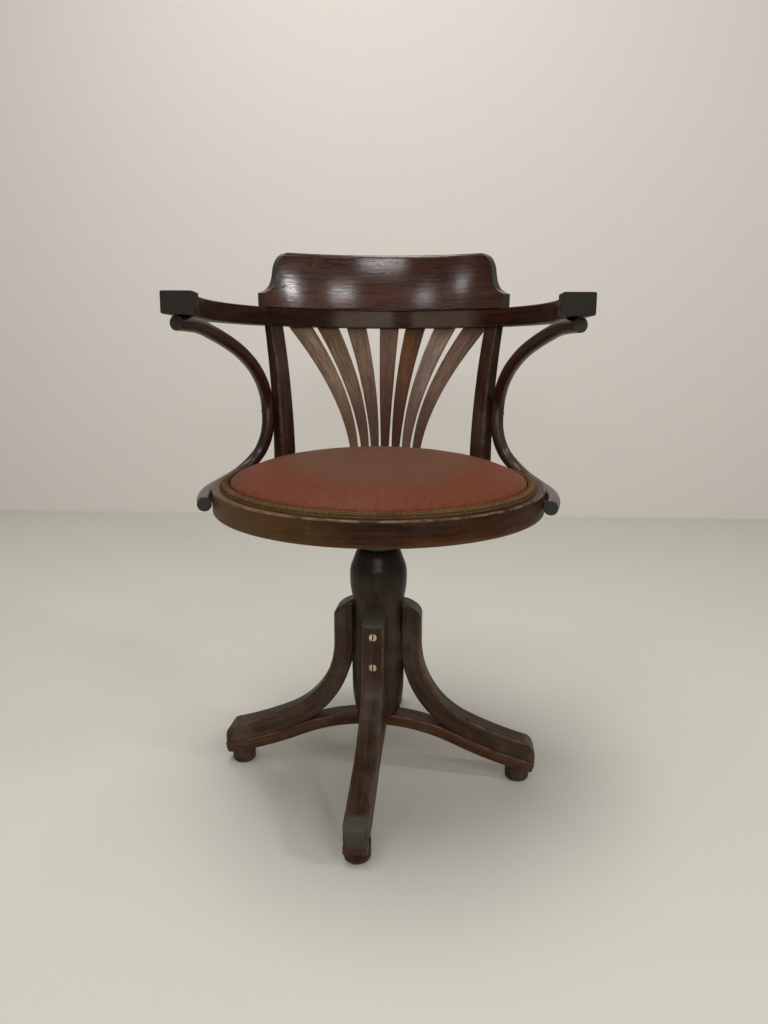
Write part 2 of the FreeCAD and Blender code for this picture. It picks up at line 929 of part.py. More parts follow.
def build_back(nodes):
    nodes["arm_bow"] = tilted(bow_blank())
    end = crest_end_cutter()
    nodes["crest"] = crest_blank().cut([end, mirrored(end), below_bow_top()])
    dowels = [crest_dowel(angle) for angle in crest_dowel_angles]
    nodes["crest_dowels"] = Part.makeCompound(dowels)
    dowel_holes = [crest_dowel(angle, joint_gap) for angle in crest_dowel_angles]
    cut_from(nodes, ("arm_bow", "crest"), dowel_holes)
    for side, name in ((-1, "post_left"), (1, "post_right")):
        nodes[name] = post(side)
        cut_from(nodes, ("seat_ring",), post_tenon(side, "foot", joint_gap))
        cut_from(nodes, ("arm_bow",), post_tenon(side, "head", joint_gap))
    for number in range(len(splat_foot_angles)):
        nodes[f"splat_{number + 1}"] = splat(number)
        cut_from(nodes, ("seat_ring",), splat_tenon(number, "foot", joint_gap))
        cut_from(nodes, ("arm_bow",), splat_tenon(number, "head", joint_gap))


def build_braces(nodes):
    brace = rod_along(brace_route(), brace_radius)
    nodes["brace_right"] = brace
    nodes["brace_left"] = mirrored(brace)
    targets = (
        "brace_right",
        "brace_left",
        "arm_bow",
        "post_right",
        "post_left",
        "seat_ring",
    )
    fasten(nodes, "brace_screws", brace_screw, brace_screw_places(), targets)


def build_underside(nodes):
    nodes["batten_across"] = batten(0, True)
    nodes["batten_front_back"] = batten(90, False)
    nodes["spider_plate"] = spider()
    nodes["spindle"] = spindle()
    battens = ("batten_across", "batten_front_back")
    sockets = [batten_bar(angle, joint_gap, 1) for angle in (0, 90)]
    cut_from(nodes, ("seat_ring",), sockets)
    into_ring, into_battens = [], []
    for angle in (0, 90, 180, 270):
        for turn in (-batten_screw_angle, batten_screw_angle):
            point = polar(batten_screw_reach, angle + turn, ring_bottom)
            into_ring.append((point, UP))
        for radius in spider_screw_radii:
            into_battens.append((polar(radius, angle, spider_bottom), UP))
    fasten(nodes, "batten_screws", batten_screw, into_ring, battens + ("seat_ring",))
    targets = battens + ("spider_plate",)
    fasten(nodes, "spider_screws", spider_screw, into_battens, targets)


def build_nut(nodes):
    sleeve = turned_cylinder(nut_sleeve_radius, nut_bottom, column_top)
    flange = turned_cylinder(nut_flange_radius, column_top, nut_top)
    bore = turned_cylinder(spindle_radius + nut_clearance, nut_bottom - 1, nut_top + 1)
    nodes["spindle_nut"] = sleeve.fuse(flange).removeSplitter().cut(bore)
    hole = turned_cylinder(nut_sleeve_radius + joint_gap, nut_bottom, column_top + 1)
    cut_from(nodes, ("column",), hole)
    radius = (nut_sleeve_radius + nut_flange_radius) / 2
    down = V(0, 0, -1)
    places = [(polar(radius, angle, nut_top), down) for angle in nut_screw_angles]
    fasten(nodes, "nut_screws", nut_screw, places, ("spindle_nut", "column"))
    low = nut_top + joint_gap / 2
    washer = turned_cylinder(washer_outer, low, low + washer_thickness)
    eye = turned_cylinder(spindle_radius + washer_clearance, low - 1, low + 5)
    nodes["slip_washer"] = washer.cut(eye)


def build_hub_bolt(nodes, strips):
    top = strip_top() - strip_thickness
    bottom = top - hub_bolt_head_height
    bolt = turned_cylinder(hub_bolt_radius, top, top + hub_bolt_length)
    head = turned_cylinder(hub_bolt_head_radius, bottom, top)
    width = slot_share * hub_bolt_head_radius
    corner = V(-hub_bolt_head_radius, -width / 2, bottom)
    slot = Part.makeBox(2 * hub_bolt_head_radius, width, 1.5 * slot_depth, corner)
    nodes["hub_bolt"] = bolt.fuse(head).removeSplitter().cut(slot)
    gap = joint_gap
    hole = turned_cylinder(hub_bolt_radius + gap, bottom, top + hub_bolt_length + 1)
    seat = turned_cylinder(hub_bolt_head_radius + gap, top - 20, top)
    cut_from(nodes, ("column",) + strips, [hole, seat])


def build_base(nodes):
    bore = turned_cylinder(column_bore_radius, column_bore_bottom, column_top + 1)
    column = column_blank(strip_top() - column_seat_depth).cut(bore)
    strip = strip_blank()
    lap = strip_width + 2 * joint_gap
    split = strip_top() - strip_thickness / 2
    below = Part.makeBox(lap, lap, 30, V(-lap / 2, -lap / 2, split - 30))
    above = Part.makeBox(lap, lap, 30, V(-lap / 2, -lap / 2, split))
    nodes["strip_front_back"] = turned(strip.cut(above), base_turn + 90)
    nodes["strip_left_right"] = turned(strip.cut(below), base_turn)
    strips = ("strip_front_back", "strip_left_right")

    leg_shape = leg()
    foot = foot_blank().cut(strip)
    flat_bottom = leg_bend_height - column_flat_drop
    flat_height = leg_top + 2 - flat_bottom
    flat_width = leg_width + 1
    corner = V(leg_face, -flat_width / 2, flat_bottom)
    flat = Part.makeBox(20, flat_width, flat_height, corner)
    names, leg_places, toe_places = ["column"], [], []
    for name, angle in (("front", -90), ("right", 0), ("back", 90), ("left", 180)):
        direction = angle + base_turn
        inward = polar(-1, direction, 0)
        nodes[f"leg_{name}"] = turned(leg_shape, direction)
        nodes[f"foot_{name}"] = turned(foot, direction)
        names += [f"leg_{name}", f"foot_{name}"]
        column = column.cut(turned(flat, direction))
        for height in leg_screw_heights:
            leg_places.append((polar(leg_face + leg_thickness, direction, height), inward))
        toe_places.append((polar(foot_reach, direction, toe_screw_height), UP))
    nodes["column"] = column
    fasten(nodes, "leg_screws", leg_screw, leg_places, names)
    fasten(nodes, "toe_screws", toe_screw, toe_places, names[1:] + list(strips))
    build_nut(nodes)
    build_hub_bolt(nodes, strips)


def write_parts(nodes):
    os.makedirs("parts", exist_ok=True)
    for name, shape in nodes.items():
        solids = shape.Solids
        whole = solids[0] if len(solids) == 1 else Part.makeCompound(solids)
        whole.exportStep(f"parts/{name}.step")
        state = "ok" if shape.isValid() else "NOT VALID"
        print(f"{name}: {len(solids)} solids, {whole.Volume:.0f} mm3, {state}")


def main():
    nodes = {}
    build_seat(nodes)
    build_back(nodes)
    build_braces(nodes)
    build_underside(nodes)
    build_base(nodes)
    write_parts(nodes)


main()
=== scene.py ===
import math

import bmesh
import bpy
from mathutils import Matrix, Vector


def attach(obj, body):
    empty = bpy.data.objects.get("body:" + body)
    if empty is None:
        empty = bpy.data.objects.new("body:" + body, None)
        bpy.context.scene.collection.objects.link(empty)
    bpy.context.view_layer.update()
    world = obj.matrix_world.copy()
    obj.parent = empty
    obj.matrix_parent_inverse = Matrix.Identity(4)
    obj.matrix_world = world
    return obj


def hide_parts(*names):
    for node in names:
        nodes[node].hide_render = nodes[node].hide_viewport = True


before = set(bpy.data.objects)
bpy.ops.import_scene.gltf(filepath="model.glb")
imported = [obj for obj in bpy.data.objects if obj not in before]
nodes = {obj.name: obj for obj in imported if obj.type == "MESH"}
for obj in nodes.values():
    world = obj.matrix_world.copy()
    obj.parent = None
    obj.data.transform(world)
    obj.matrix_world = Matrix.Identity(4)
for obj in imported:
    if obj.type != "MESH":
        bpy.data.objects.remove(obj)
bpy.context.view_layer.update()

print("frame loaded:", len(nodes), "nodes")


# Tools for materials

class Signal:
    # one socket of a material, so that sums of sockets are written as sums
    def __init__(self, finish, socket):
        self.finish = finish
        self.socket = socket

    def __add__(self, other):
        return self.finish.math("ADD", self, other)

    def __sub__(self, other):
        return self.finish.math("SUBTRACT", self, other)

    def __rsub__(self, other):
        return self.finish.math("SUBTRACT", other, self)

    def __mul__(self, other):
        return self.finish.math("MULTIPLY", self, other)

    def __truediv__(self, other):
        return self.finish.math("DIVIDE", self, other)

    def __pow__(self, other):
        return self.finish.math("POWER", self, other)

    def __gt__(self, other):
        return self.finish.math("GREATER_THAN", self, other)

    def __lt__(self, other):
        return self.finish.math("LESS_THAN", self, other)

    def __abs__(self):
        return self.finish.math("ABSOLUTE", self)

    __radd__ = __add__
    __rmul__ = __mul__


class Finish:
    # one material and the nodes that make it
    def __init__(self, name):
        self.material = bpy.data.materials.new(name)
        self.material.use_nodes = True
        self.tree = self.material.node_tree
        self.shader = self.tree.nodes["Principled BSDF"]
        self.spot = self.node("ShaderNodeTexCoord", output=3)

    def node(self, kind, settings=None, sockets=None, output=0):
        made = self.tree.nodes.new(kind)
        for key, value in (settings or {}).items():
            setattr(made, key, value)
        for key, value in (sockets or {}).items():
            self.feed(made.inputs[key], value)
        return Signal(self, made.outputs[output])

    def feed(self, socket, value):
        if isinstance(value, Signal):
            self.tree.links.new(value.socket, socket)
        elif isinstance(value, tuple) and len(value) == 3 and socket.type == "RGBA":
            socket.default_value = (*value, 1)
        else:
            socket.default_value = value

    def set(self, **sockets):
        # Base_Color and its like stand for names with a space
        for key, value in sockets.items():
            self.feed(self.shader.inputs[key.replace("_", " ")], value)

    def math(self, operation, *values):
        return self.node("ShaderNodeMath", {"operation": operation}, dict(enumerate(values)))

    def place(self):
        # X, Y and Z in metres; the object's own coordinates are the chair's
        return self.split(self.spot)

    def split(self, vector):
        first = self.node("ShaderNodeSeparateXYZ", sockets={0: vector})
        return [Signal(self, socket) for socket in first.socket.node.outputs]

    def normal(self):
        return self.split(self.node("ShaderNodeNewGeometry", output=1))

    def vector(self, x, y, z):
        return self.node("ShaderNodeCombineXYZ", sockets={0: x, 1: y, 2: z})

    def noise(self, vector, scale=1.0, detail=3.0, rough=0.55, warp=0.0):
        return self.node("ShaderNodeTexNoise", sockets={
            "Vector": vector, "Scale": scale, "Detail": detail,
            "Roughness": rough, "Distortion": warp})

    def cells(self, vector, scale, feature="F1"):
        return self.node("ShaderNodeTexVoronoi", {"feature": feature},
                         {"Vector": vector, "Scale": scale})

    def smooth(self, value, low, high):
        # 0 at low and 1 at high, with soft ends
        return self.node("ShaderNodeMapRange", {"interpolation_type": "SMOOTHSTEP"},
                         {0: value, 1: low, 2: high, 3: 0.0, 4: 1.0})

    def mix(self, share, first, second):
        return self.node("ShaderNodeMix", {"data_type": "RGBA", "clamp_factor": True},
                         {0: share, 6: first, 7: second}, output=2)

    def relief(self, height, depth, strength=1.0):
        return self.node("ShaderNodeBump", sockets={
            "Height": height, "Distance": depth, "Strength": strength})


def paint(finish, *names):
    for name in names:
        mesh = nodes[name].data if name in nodes else bpy.data.objects[name].data
        mesh.materials.clear()
        mesh.materials.append(finish.material)


# Sizes that the finishes and pieces below follow, in metres

seatSizes = {
    "ringRadius": 0.225, "ringTop": 0.437, "ringHeight": 0.0325, "ringWidth": 0.046,
    "ringCorner": 0.003,
    "padRadius": 0.203, "padHeight": 0.038, "padEdge": 0.002, "padForward": 0.004,
    "trimOuter": 0.214, "trimHeight": 0.005,
}
backSizes = {
    "postFoot": (0.1518, 0.144), "postHead": (0.1685, 0.175), "postBend": 2.1,
    "postFootHalf": (0.01375, 0.0145), "postHeadHalf": (0.00875, 0.012),
    "bowBottom": 0.6425, "bowLevelY": 0.235, "bowRise": math.tan(math.radians(2.6)),
    "bowRadius": 0.245, "bowWidth": 0.026, "bowThickness": 0.027, "bowCorner": 0.0025,
    "splatFoot": (-12.6, -7.9, -3.7, 0.5, 5.1, 9.5, 14.1),
    "splatHead": (-32.3, -21.7, -10.7, 1.8, 11.8, 23.3, 35.4), "splatBend": 1.75,
    "splatRadius": 0.23, "braceMiddle": (0.02, 0.527), "braceBend": 0.107, "braceFlare": 0.9,
}
baseSizes = {
    "turn": math.radians(-5), "legFace": 0.0345, "legThickness": 0.028, "legWidth": 0.031,
    "bendHeight": 0.204, "bendRadius": 0.122, "bendAngle": math.radians(65),
    "sweepRadius": 0.5, "stripTop": 0.0949, "archRadius": 0.2866, "stripWidth": 0.0305,
    "stripThickness": 0.0175, "legCorner": 0.005, "stripCorner": 0.003,
}


# How the grain runs in each kind of piece: along, across and into it

def hoopGrain(finish, x, y, z):
    # the seat ring, with its joint at the back
    radius = finish.math("SQRT", x * x + y * y)
    angle = finish.math("ARCTAN2", x, y * -1)
    return angle * seatSizes["ringRadius"], z, radius


def bowGrain(finish, x, y, z):
    # round the back and straight along the arms
    behind = finish.math("MAXIMUM", y, 0.0)
    radius = finish.math("SQRT", x * x + behind * behind)
    angle = finish.math("ARCTAN2", x, behind + 0.0001)
    ahead = finish.math("MINIMUM", y, 0.0) * finish.math("SIGN", x)
    level = z - (backSizes["bowBottom"] + (backSizes["bowLevelY"] - y) * backSizes["bowRise"])
    return angle * backSizes["bowRadius"] - ahead, level, radius


def uprightGrain(finish, x, y, z):
    return z, x, y


def crossGrain(finish, x, y, z):
    return x, y, z


def depthGrain(finish, x, y, z):
    return y, x, z


def splatGrain(number):
    foot, head = backSizes["splatFoot"][number], backSizes["splatHead"][number]

    def grain(finish, x, y, z):
        bottom, top = seatSizes["ringTop"], backSizes["bowBottom"]
        share = finish.math("MAXIMUM", (z - bottom) / (top - bottom), 0.0)
        turn = share ** backSizes["splatBend"] * math.radians(head - foot) + math.radians(foot)
        angle = finish.math("ARCTAN2", x, y)
        radius = finish.math("SQRT", x * x + y * y)
        # each splat is cut from another part of the board
        return z, (angle - turn) * backSizes["splatRadius"] + number * 0.1, radius
    return grain


def postGrain(side):
    def grain(finish, x, y, z):
        bottom, top = seatSizes["ringTop"], backSizes["bowBottom"]
        share = finish.math("MAXIMUM", (z - bottom) / (top - bottom), 0.0)
        bend = share ** backSizes["postBend"]
        foot, head = backSizes["postFoot"], backSizes["postHead"]
        beside = x * side - (bend * (head[0] - foot[0]) + foot[0])
        behind = y - (bend * (head[1] - foot[1]) + foot[1])
        return z, (beside - behind) * math.sqrt(0.5), (beside + behind) * math.sqrt(0.5)
    return grain


def braceGrain(side):
    # the braces bend like a C, seen from the side
    middleY, middleZ = backSizes["braceMiddle"]

    def grain(finish, x, y, z):
        behind = finish.math("MAXIMUM", y - middleY, 0.0)
        rise = z - middleZ
        radius = finish.math("SQRT", behind * behind + rise * rise)
        ahead = finish.math("MINIMUM", y - middleY, 0.0) * finish.math("SIGN", rise)
        along = finish.math("ARCTAN2", rise, behind + 0.0001) * backSizes["braceBend"] - ahead
        return along, x * side - along * along * backSizes["braceFlare"], radius
    return grain


def armOfBase(finish, x, y, direction):
    angle = direction + baseSizes["turn"]
    reach = x * math.cos(angle) + y * math.sin(angle)
    aside = y * math.cos(angle) - x * math.sin(angle)
    return reach, aside


def legGrain(direction):
    s = baseSizes
    centre = (s["legFace"] + s["legThickness"] + s["bendRadius"], s["bendHeight"])
    away = s["sweepRadius"] - s["bendRadius"]
    far = (centre[0] + away * math.cos(s["bendAngle"]), centre[1] + away * math.sin(s["bendAngle"]))

    def grain(finish, x, y, z):
        reach, aside = armOfBase(finish, x, y, direction)
        # straight above the bend, then round one centre, then round a far one
        back = centre[0] - reach
        drop = finish.math("MAXIMUM", centre[1] - z, 0.0)
        near = finish.math("SQRT", back * back + drop * drop)
        turn = finish.math("ARCTAN2", drop, back)
        farBack, farDrop = far[0] - reach, far[1] - z
        wide = finish.math("SQRT", farBack * farBack + farDrop * farDrop)
        farTurn = finish.math("ARCTAN2", farDrop, farBack)
        beyond = turn > s["bendAngle"]
        depth = near - s["bendRadius"]
        depth = depth + beyond * (wide - s["sweepRadius"] - depth)
        along = turn * s["bendRadius"]
        farAlong = s["bendAngle"] * s["bendRadius"] + (farTurn - s["bendAngle"]) * s["sweepRadius"]
        along = along + beyond * (farAlong - along)
        above = finish.math("MAXIMUM", z - centre[1], 0.0)
        return along - above, aside, depth
    return grain


def stripGrain(direction):
    s = baseSizes
    centre = s["legFace"] + s["legThickness"] + s["bendRadius"]
    away = s["sweepRadius"] - s["bendRadius"]
    far = (centre + away * math.cos(s["bendAngle"]), s["bendHeight"] + away * math.sin(s["bendAngle"]))

    def grain(finish, x, y, z):
        reach, aside = armOfBase(finish, x, y, direction)
        out = abs(reach)
        up = z - (s["stripTop"] - s["archRadius"])
        near = s["archRadius"] - finish.math("SQRT", out * out + up * up)
        farBack, farDrop = far[0] - out, far[1] - z
        wide = finish.math("SQRT", farBack * farBack + farDrop * farDrop)
        wide = wide - (s["sweepRadius"] + s["legThickness"])
        beyond = out > s["archRadius"] * math.cos(s["bendAngle"])
        return reach, aside, near + beyond * (wide - near)
    return grain


# Where edges are rubbed pale, and where the end grain shows

def cornerWear(finish, first, firstHalf, second, secondHalf, corner, wide=0.0012):
    # along the rounded corner of a section, whose sides lie at the two half sizes
    reach = (abs(first) - firstHalf) + (abs(second) - secondHalf)
    edge = (math.sqrt(2) - 2) * corner
    return finish.smooth(reach, edge - wide, edge + 0.0002)


def ringWear(finish, x, y, z, grain):
    s = seatSizes
    middle = s["ringTop"] - s["ringHeight"] / 2
    half = s["ringWidth"] / 2
    wear = cornerWear(finish, grain[2] - (s["ringRadius"] - half), half,
                      z - middle, s["ringHeight"] / 2, s["ringCorner"])
    top = finish.smooth(z, middle - 0.004, middle + 0.004)
    return wear * (top * 0.75 + 0.25)


def bowWear(finish, x, y, z, grain):
    s = backSizes
    level = grain[1] - s["bowThickness"] / 2
    return cornerWear(finish, grain[2] - s["bowRadius"], s["bowWidth"] / 2,
                      level, s["bowThickness"] / 2, s["bowCorner"], 0.0009)


def legWear(finish, x, y, z, grain):
    s = baseSizes
    outer = finish.smooth(grain[2], 0.012, 0.009)
    half = s["legThickness"] / 2
    wear = cornerWear(finish, grain[1], s["legWidth"] / 2,
                      grain[2] - half, half, s["legCorner"], 0.0014)
    return wear * outer


def stripWear(finish, x, y, z, grain):
    s = baseSizes
    upper = finish.smooth(grain[2], 0.009, 0.006)
    half = s["stripThickness"] / 2
    return upper * cornerWear(finish, grain[1], s["stripWidth"] / 2,
                              grain[2] - half, half, s["stripCorner"])


def postWear(finish, x, y, z, grain):
    s = backSizes
    share = (z - seatSizes["ringTop"]) / (s["bowBottom"] - seatSizes["ringTop"])
    foot, head = s["postFootHalf"], s["postHeadHalf"]
    depth = share * (head[0] - foot[0]) + foot[0]
    width = share * (head[1] - foot[1]) + foot[1]
    reach = (abs(grain[1]) - width) + (abs(grain[2]) - depth)
    edge = share * 0.0035 - 0.0047
    return finish.smooth(reach - edge, -0.0016, 0.0002)


def crestEnds(finish, x, y, z, grain):
    # the sawn faces at the two ends of the crest
    nx, ny, _ = finish.normal()
    angle = finish.math("ARCTAN2", x, y)
    aside = abs(nx * finish.math("COSINE", angle) - ny * finish.math("SINE", angle))
    return finish.smooth(aside, 0.62, 0.8) * (abs(angle) > 0.55)


def pawEnds(finish, x, y, z, grain):
    ny = finish.normal()[1]
    front = finish.smooth(ny * -1, 0.8, 0.92) * (y < -0.092)
    bright = finish.smooth(y, -0.074, -0.082) * 0.35
    return finish.math("MAXIMUM", front, bright)


def legEnds(direction):
    # the ogee on top and the nose of the toe
    def ends(finish, x, y, z, grain):
        nz = finish.normal()[2]
        out, across = armOfBase(finish, x, y, direction)
        top = finish.smooth(nz, 0.10, 0.40) * finish.smooth(z, 0.226, 0.244)
        ragged = finish.noise(finish.spot, 130.0, detail=3.0) * 0.006
        nose = finish.smooth(out + ragged, 0.2135, 0.2185)
        nose = nose * finish.smooth(abs(across) + ragged, 0.0185, 0.0145)
        return finish.math("MAXIMUM", top, nose)
    return ends


def braceEnds(finish, x, y, z, grain):
    ny = finish.normal()[1]
    return finish.smooth(ny * -1, 0.5, 0.75) * (y < -0.078)


# Where the varnish has a tone of its own, and where painted shade darkens the splats

def ringTint(finish, x, y, z):
    # worn to a golden brown on the left and along the lower edge
    cloud = finish.noise(finish.spot, 11.0, detail=4.0, rough=0.65)
    left = finish.smooth(x * -1 + cloud * 0.16, 0.06, 0.24)
    low = seatSizes["ringTop"] - seatSizes["ringHeight"]
    edge = finish.smooth(z + cloud * 0.012, low + 0.0135, low + 0.0065)
    return finish.math("MAXIMUM", left * 0.75, edge * 0.6)


def bowTint(finish, x, y, z):
    # paler and greyer in patches on the back part, either side of the middle
    cloud = finish.noise(finish.spot, 30.0, detail=4.0, rough=0.65)
    aside = abs(x - 0.03) + cloud * 0.03
    rubbed = finish.smooth(aside, 0.022, 0.04) * finish.smooth(aside, 0.14, 0.11)
    return rubbed * (y > 0.1) * 0.75


def splatShade(finish, x, y, z):
    # painted shade: paler half way up, darker towards the foot where less light falls, and darker just
    # under the bow in its shadow
    cloud = finish.noise(finish.spot, 18.0, detail=4.0, rough=0.65)
    foot = finish.smooth(z + cloud * 0.05, 0.605, 0.505) * 0.92
    head = finish.smooth(z + cloud * 0.02, 0.632, 0.655) * 0.7
    return finish.math("MAXIMUM", foot, head)


def columnTint(finish, x, y, z):
    # darker, near black, round the top
    cloud = finish.noise(finish.spot, 22.0, detail=4.0, rough=0.6)
    return finish.smooth(z + cloud * 0.05, 0.312, 0.350) * 0.85


# Stained bentwood

woodLook = {
    "deep": (0.0120, 0.0055, 0.0032),
    "stain": (0.056, 0.0255, 0.0128),
    "rubbed": (0.170, 0.108, 0.066),
    "dust": (0.108, 0.080, 0.056),
    "endGrain": (0.021, 0.0190, 0.0150),
    "tintColour": (0.080, 0.058, 0.043),
    "dustShare": 0.34,
    "rubbedShare": 0.8,
    "flecks": 0.24,
    "gloss": 0.42,
    "shine": 0.12,
    "varnish": 0.05,
    "sawnRough": 0.24,
}


def woodFinish(name, grain, wear=None, ends=None, tint=None, **changes):
    look = {**woodLook, **changes}
    finish = Finish(name)
    x, y, z = finish.place()
    along, across, depth = grain(finish, x, y, z)
    fibre = finish.noise(finish.vector(along * 12, across * 460, depth * 460), detail=4.0)
    streak = finish.noise(finish.vector(along * 26, across * 210, depth * 210), detail=3.0, rough=0.62)
    figure = finish.noise(finish.vector(along * 3.1, across * 52, depth * 52), detail=3.0, warp=0.35)
    pore = finish.noise(finish.vector(along * 85, across * 1700, depth * 1700), detail=1.0)
    pore = finish.smooth(pore, 0.60, 0.72)
    patch = finish.noise(finish.spot, 13.0, detail=4.0, rough=0.62)
    speck = finish.noise(finish.spot, 420.0, detail=2.0)
    tone = finish.smooth(fibre * 0.30 + streak * 0.30 + figure * 0.40, 0.37, 0.63)
    colour = finish.mix(tone, look["deep"], look["stain"])
    # this mix gives the varnish's own tones, and on the splats it gives painted shade
    if tint is not None:
        tonedAndShaded = tint(finish, x, y, z) * (streak * 0.6 + 0.7)
        colour = finish.mix(tonedAndShaded, colour, look["tintColour"])
    colour = finish.mix(pore * 0.5, colour, look["deep"])
    film = finish.smooth(patch, 0.46, 0.72) * look["dustShare"]
    film = film * (speck * 0.8 + 0.6)
    fleck = finish.noise(finish.vector(along * 70, across * 260, depth * 260), detail=3.0, rough=0.75)
    film = finish.math("MAXIMUM", film, finish.smooth(fleck, 0.60, 0.72) * look["flecks"])
    colour = finish.mix(film, colour, look["dust"])
    roughness = film * 0.40 + streak * 0.12 + look["gloss"] - 0.06
    height = fibre * 0.25 + streak * 0.35 - pore * 0.30
    if wear is not None:
        chips = finish.noise(finish.vector(along * 55, across * 90, depth * 90), detail=4.0, rough=0.7)
        rub = finish.smooth(chips, 0.42, 0.60)
        rub = wear(finish, x, y, z, (along, across, depth)) * rub * look["rubbedShare"]
        colour = finish.mix(rub, colour, look["rubbed"])
        height = height - rub * 0.5
    varnish = 1 - film * 0.8
    if ends is not None:
        sawn = ends(finish, x, y, z, (along, across, depth))
        saw = finish.noise(finish.spot, 300.0, detail=4.0)
        paste = finish.mix(saw, tuple(0.5 * c for c in look["endGrain"]),
                           tuple(1.6 * c for c in look["endGrain"]))
        colour = finish.mix(sawn, colour, paste)
        roughness = roughness + sawn * look["sawnRough"]
        varnish = varnish * (1 - sawn * 0.85)
    finish.set(Base_Color=colour, Roughness=roughness, Coat_Weight=varnish * look["varnish"],
               Coat_Roughness=0.18, Specular_IOR_Level=look["shine"])
    finish.set(Normal=finish.relief(height, 0.00050, 0.55))
    return finish


print("painting the wood")
paint(woodFinish("stainedRing", hoopGrain, ringWear, tint=ringTint, gloss=0.42, shine=0.08,
                 tintColour=(0.098, 0.051, 0.019), dust=(0.105, 0.070, 0.045), dustShare=0.24,
                 stain=(0.054, 0.0165, 0.0052), deep=(0.0140, 0.0044, 0.0016)), "seat_ring")
paint(woodFinish("stainedBow", bowGrain, bowWear, pawEnds, bowTint, gloss=0.42, shine=0.09,
                 stain=(0.036, 0.0110, 0.0052), deep=(0.0100, 0.0032, 0.0016), flecks=0.14,
                 dustShare=0.12, rubbedShare=0.5), "arm_bow")
paint(woodFinish("stainedCrest", bowGrain, None, crestEnds, stain=(0.052, 0.0135, 0.0042),
                 deep=(0.018, 0.0046, 0.0016), gloss=0.19, varnish=0.06, shine=0.42,
                 dustShare=0.04, flecks=0.07, dust=(0.085, 0.045, 0.024)), "crest")
# the splats' ends are darkened with painted shade, towards the foot and just under the bow
splatShadeShare = (0.36, 0.28, 0.22)  # share of the stain that is left at the splats' ends
splatTones = (  # stain, deep colour and share of dust, from the left
    ((0.300, 0.200, 0.134), (0.108, 0.064, 0.038), 0.50),
    ((0.205, 0.126, 0.077), (0.075, 0.041, 0.022), 0.40),
    ((0.178, 0.098, 0.056), (0.066, 0.031, 0.016), 0.26),
    ((0.130, 0.048, 0.015), (0.047, 0.016, 0.005), 0.04),
    ((0.128, 0.043, 0.011), (0.047, 0.015, 0.004), 0.04),
    ((0.295, 0.204, 0.158), (0.113, 0.068, 0.048), 0.45),
    ((0.208, 0.126, 0.092), (0.074, 0.037, 0.024), 0.40),
)
for number, (stain, deep, dust) in enumerate(splatTones):
    dark = tuple(tone * share for tone, share in zip(stain, splatShadeShare))
    finish = woodFinish(f"stainedSplat{number + 1}", splatGrain(number), tint=splatShade, stain=stain,
                        deep=deep, tintColour=dark, dustShare=dust, gloss=0.46)
    paint(finish, f"splat_{number + 1}")
redder = {"stain": (0.042, 0.0125, 0.0056), "deep": (0.0115, 0.0038, 0.0018)}
for side, name in ((-1, "left"), (1, "right")):
    paint(woodFinish(f"stainedPost{name.title()}", postGrain(side), postWear, gloss=0.42,
                     rubbedShare=0.22, dustShare=0.20, stain=(0.040, 0.0150, 0.0066),
                     deep=(0.0100, 0.0038, 0.0018)), f"post_{name}")
    paint(woodFinish(f"stainedBrace{name.title()}", braceGrain(side), None, braceEnds,
                     gloss=0.30, shine=0.32, varnish=0.12, dustShare=0.16, flecks=0.16,
                     **redder), f"brace_{name}")
browner = {"stain": (0.056, 0.0300, 0.0165), "deep": (0.0140, 0.0078, 0.0048)}
stripTone = {"stain": (0.082, 0.0330, 0.0160), "deep": (0.024, 0.0090, 0.0044),
             "rubbed": (0.21, 0.110, 0.060), "rubbedShare": 0.45, "dustShare": 0.24}
for name, direction in (("front", -90), ("right", 0), ("back", 90), ("left", 180)):
    angle = math.radians(direction)
    paint(woodFinish(f"stainedLeg{name.title()}", legGrain(angle), legWear, legEnds(angle), gloss=0.42,
                     rubbedShare=0.32, dustShare=0.48, sawnRough=-0.04,
                     endGrain=(0.042, 0.0385, 0.0285), **browner), f"leg_{name}")
    paint(woodFinish(f"stainedFoot{name.title()}", uprightGrain, gloss=0.50, dustShare=0.5),
          f"foot_{name}")
paint(woodFinish("stainedStripAcross", stripGrain(0.0), stripWear, gloss=0.42, **stripTone),
      "strip_left_right")
paint(woodFinish("stainedStripAhead", stripGrain(math.radians(90)), stripWear, gloss=0.42,
                 **stripTone), "strip_front_back")
paint(woodFinish("stainedColumn", uprightGrain, tint=columnTint, gloss=0.38, dustShare=0.36,
                 tintColour=(0.0170, 0.0155, 0.0115), shine=0.12,
                 stain=(0.044, 0.0240, 0.0130), deep=(0.0120, 0.0066, 0.0040)), "column")

plainLook = {"deep": (0.15, 0.085, 0.040), "stain": (0.36, 0.24, 0.13), "gloss": 0.62,
             "varnish": 0.0, "shine": 0.3, "dustShare": 0.35, "dust": (0.20, 0.17, 0.13)}
paint(woodFinish("rawBoard", crossGrain, **plainLook), "seat_board", "batten_across")
paint(woodFinish("rawBatten", depthGrain, **plainLook), "batten_front_back", "crest_dowels")


# Metal and felt

def ironFinish():
    finish = Finish("darkIron")
    rust = finish.smooth(finish.noise(finish.spot, 60.0, detail=5.0, rough=0.65), 0.48, 0.66)
    colour = finish.mix(rust * 0.6, (0.055, 0.054, 0.052), (0.085, 0.036, 0.016))
    finish.set(Base_Color=colour, Roughness=rust * 0.35 + 0.42, Metallic=0.85 - rust * 0.6)
    finish.set(Normal=finish.relief(finish.noise(finish.spot, 500.0, detail=3.0), 0.0002, 0.5))
    return finish


